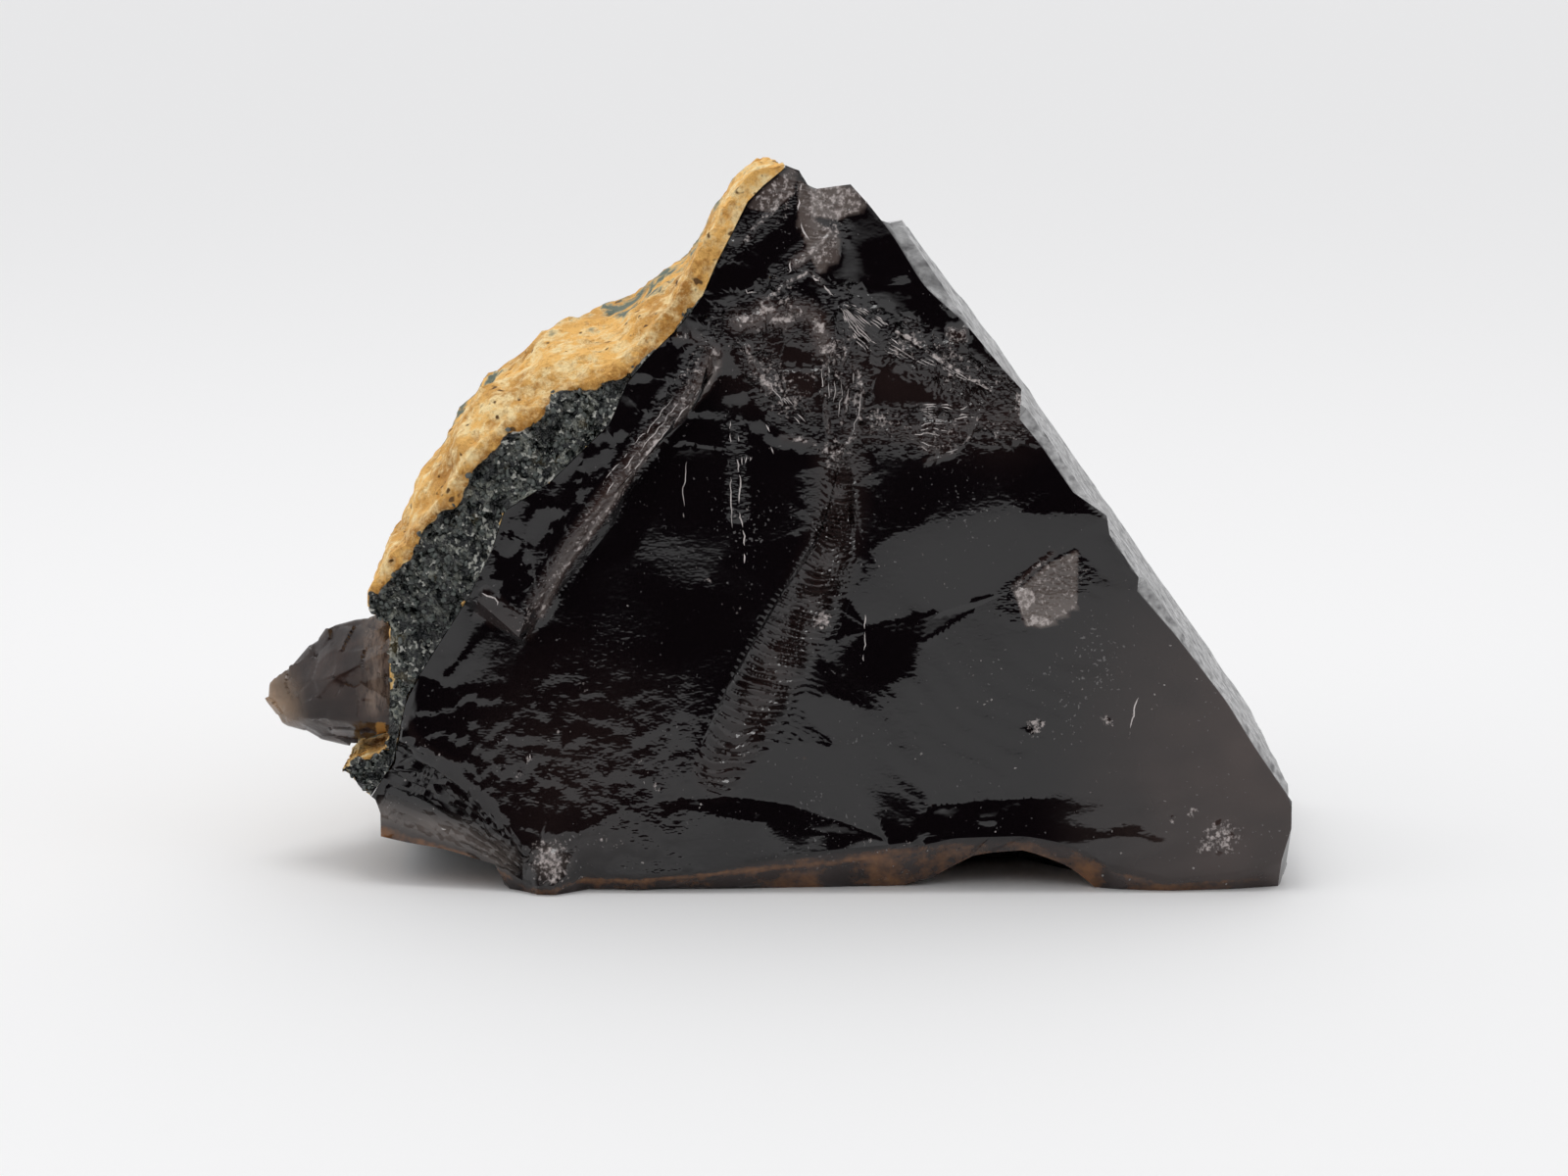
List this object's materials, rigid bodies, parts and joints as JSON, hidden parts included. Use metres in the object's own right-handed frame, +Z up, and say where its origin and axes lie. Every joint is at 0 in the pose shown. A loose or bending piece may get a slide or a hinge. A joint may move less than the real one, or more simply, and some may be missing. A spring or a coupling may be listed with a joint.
{
  "type": "morion quartz crystal",
  "caption": "Broken chunk of black smoky quartz with glossy shell-like fractures, an ochre-skinned rock crust on its left and a small smoky side crystal, resting on its flat underside.",
  "frame": {"origin": "centre of the bounding box at the surface the specimen rests on", "axes": "+X to the right across the broken front face, +Y from the front face into the stone, +Z up"},
  "size_m": [0.0984, 0.0504, 0.0678],
  "materials": {
    "morion_quartz": "near-black glossy fracture with fine ribs, hackles and pale chips",
    "weathered_rock": "powdery yellow-ochre weathered skin over dark green-black granular rock",
    "smoky_quartz": "translucent smoky brown crystal with a dull frosted skin"
  },
  "bodies": {
    "root": {"morion_crystal": "morion_quartz", "matrix_crust": "weathered_rock", "side_crystal": "smoky_quartz"}
  },
  "joints": []
}
